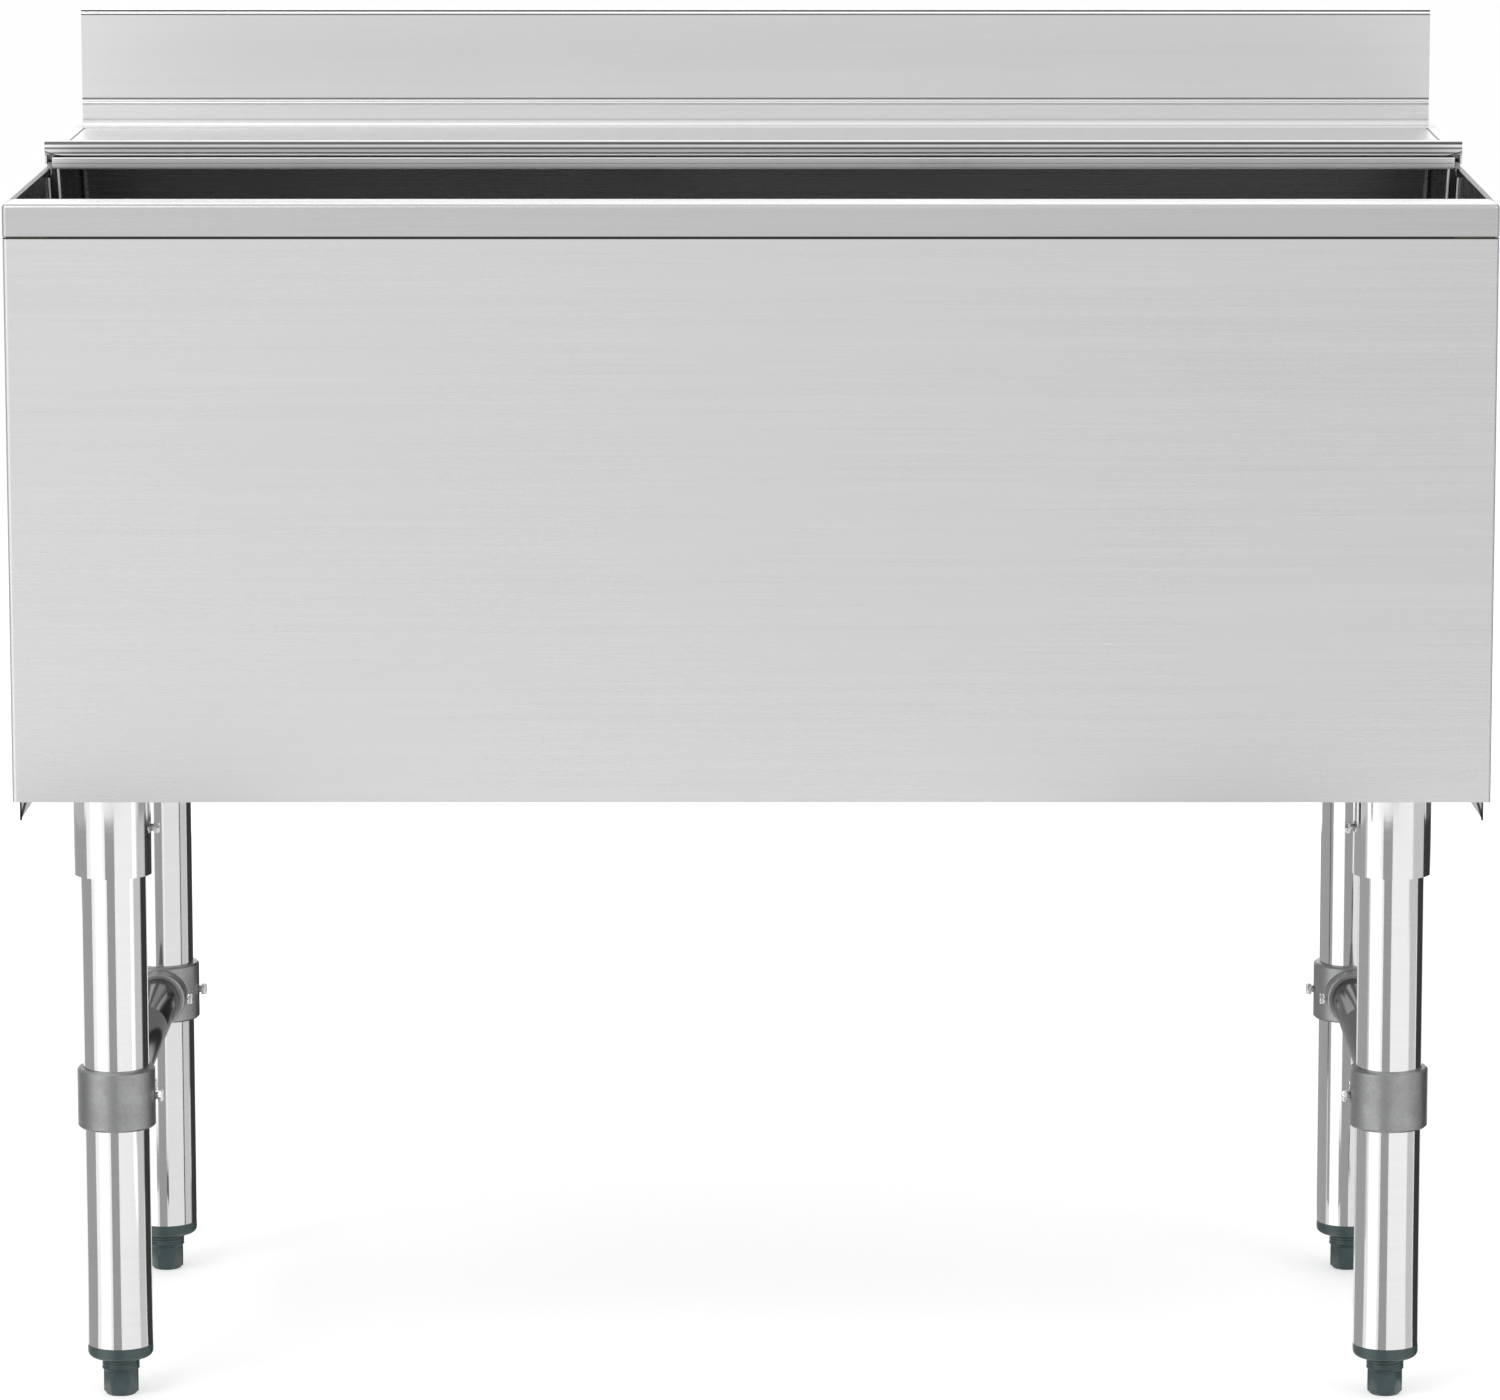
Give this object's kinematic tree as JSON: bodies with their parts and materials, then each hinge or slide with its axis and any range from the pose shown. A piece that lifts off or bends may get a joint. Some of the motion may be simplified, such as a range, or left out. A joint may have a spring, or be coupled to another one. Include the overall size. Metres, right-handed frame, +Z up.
{
  "type": "underbar ice bin",
  "caption": "Insulated stainless underbar ice bin with rear deck, backsplash, sliding lid and tube legs with levelling feet.",
  "frame": {"origin": "on the floor, under the middle of the bin's width and depth", "axes": "+X to the right as seen by the user at the front, +Y back to the wall, +Z up"},
  "size_m": [0.9144, 0.4666, 0.8509],
  "materials": {
    "brushed_panel": "fine horizontal brushed grain",
    "bright_steel": "satin, bends brighter",
    "liner_steel": "smooth mill finish",
    "casing_steel": "plain mill finish",
    "polished_tube": "polished tube",
    "rail_tube": "polished tube",
    "cast_clamp": "smooth casting, matt",
    "screw_steel": "bright plated",
    "foot_plastic": "satin moulded",
    "glide_plastic": "moulded, waxy",
    "gasket_rubber": "matt",
    "drain_fitting": "plain cast and turned",
    "foam": "cut foam"
  },
  "bodies": {
    "bin": {"backsplash": "bright_steel", "backsplash_end_left": "bright_steel", "backsplash_end_right": "bright_steel", "bottom_pan": "casing_steel", "clamp_set_screws": "screw_steel", "corner_tabs": "casing_steel", "cross_rail_left": "rail_tube", "cross_rail_right": "rail_tube", "deck_bracket_left": "liner_steel", "deck_bracket_right": "liner_steel", "drain_body": "liner_steel", "drain_gasket": "gasket_rubber", "drain_locknut": "drain_fitting", "drain_tailpiece": "drain_fitting", "foot_insert_front_left": "foot_plastic", "foot_insert_front_right": "foot_plastic", "foot_insert_rear_left": "foot_plastic", "foot_insert_rear_right": "foot_plastic", "front_apron": "brushed_panel", "front_rim": "bright_steel", "ice_liner": "liner_steel", "insulation_base": "foam", "insulation_walls": "foam", "leg_channel_left": "casing_steel", "leg_channel_right": "casing_steel", "leg_socket_front_left": "polished_tube", "leg_socket_front_right": "polished_tube", "leg_socket_rear_left": "polished_tube", "leg_socket_rear_right": "polished_tube", "leg_tube_front_left": "polished_tube", "leg_tube_front_right": "polished_tube", "leg_tube_rear_left": "polished_tube", "leg_tube_rear_right": "polished_tube", "rail_clamp_front_left": "cast_clamp", "rail_clamp_front_right": "cast_clamp", "rail_clamp_rear_left": "cast_clamp", "rail_clamp_rear_right": "cast_clamp", "rear_deck": "bright_steel", "rear_panel": "casing_steel", "side_panel_left": "brushed_panel", "side_panel_right": "brushed_panel", "side_rim_left": "bright_steel", "side_rim_right": "bright_steel", "socket_bolts": "screw_steel", "socket_set_screws": "screw_steel"},
    "lid": {"lid_panel": "bright_steel", "lid_glides": "glide_plastic"},
    "strainer": {"drain_strainer": "liner_steel"},
    "foot_front_left": {"bullet_foot_front_left": "foot_plastic"},
    "foot_front_right": {"bullet_foot_front_right": "foot_plastic"},
    "foot_rear_left": {"bullet_foot_rear_left": "foot_plastic"},
    "foot_rear_right": {"bullet_foot_rear_right": "foot_plastic"}
  },
  "joints": [
    {"name": "lid_slide", "type": "slide", "parent": "bin", "child": "lid", "axis": [0, -1, 0], "range_m": [0, 0.192]},
    {"name": "strainer_lift", "type": "slide", "parent": "bin", "child": "strainer", "axis": [0, 0, 1], "range_m": [0, 0.1]},
    {"name": "foot_screw_front_left", "type": "slide", "parent": "bin", "child": "foot_front_left", "axis": [0, 0, -1], "range_m": [0, 0.025]},
    {"name": "foot_screw_front_right", "type": "slide", "parent": "bin", "child": "foot_front_right", "axis": [0, 0, -1], "range_m": [0, 0.025]},
    {"name": "foot_screw_rear_left", "type": "slide", "parent": "bin", "child": "foot_rear_left", "axis": [0, 0, -1], "range_m": [0, 0.025]},
    {"name": "foot_screw_rear_right", "type": "slide", "parent": "bin", "child": "foot_rear_right", "axis": [0, 0, -1], "range_m": [0, 0.025]}
  ]
}
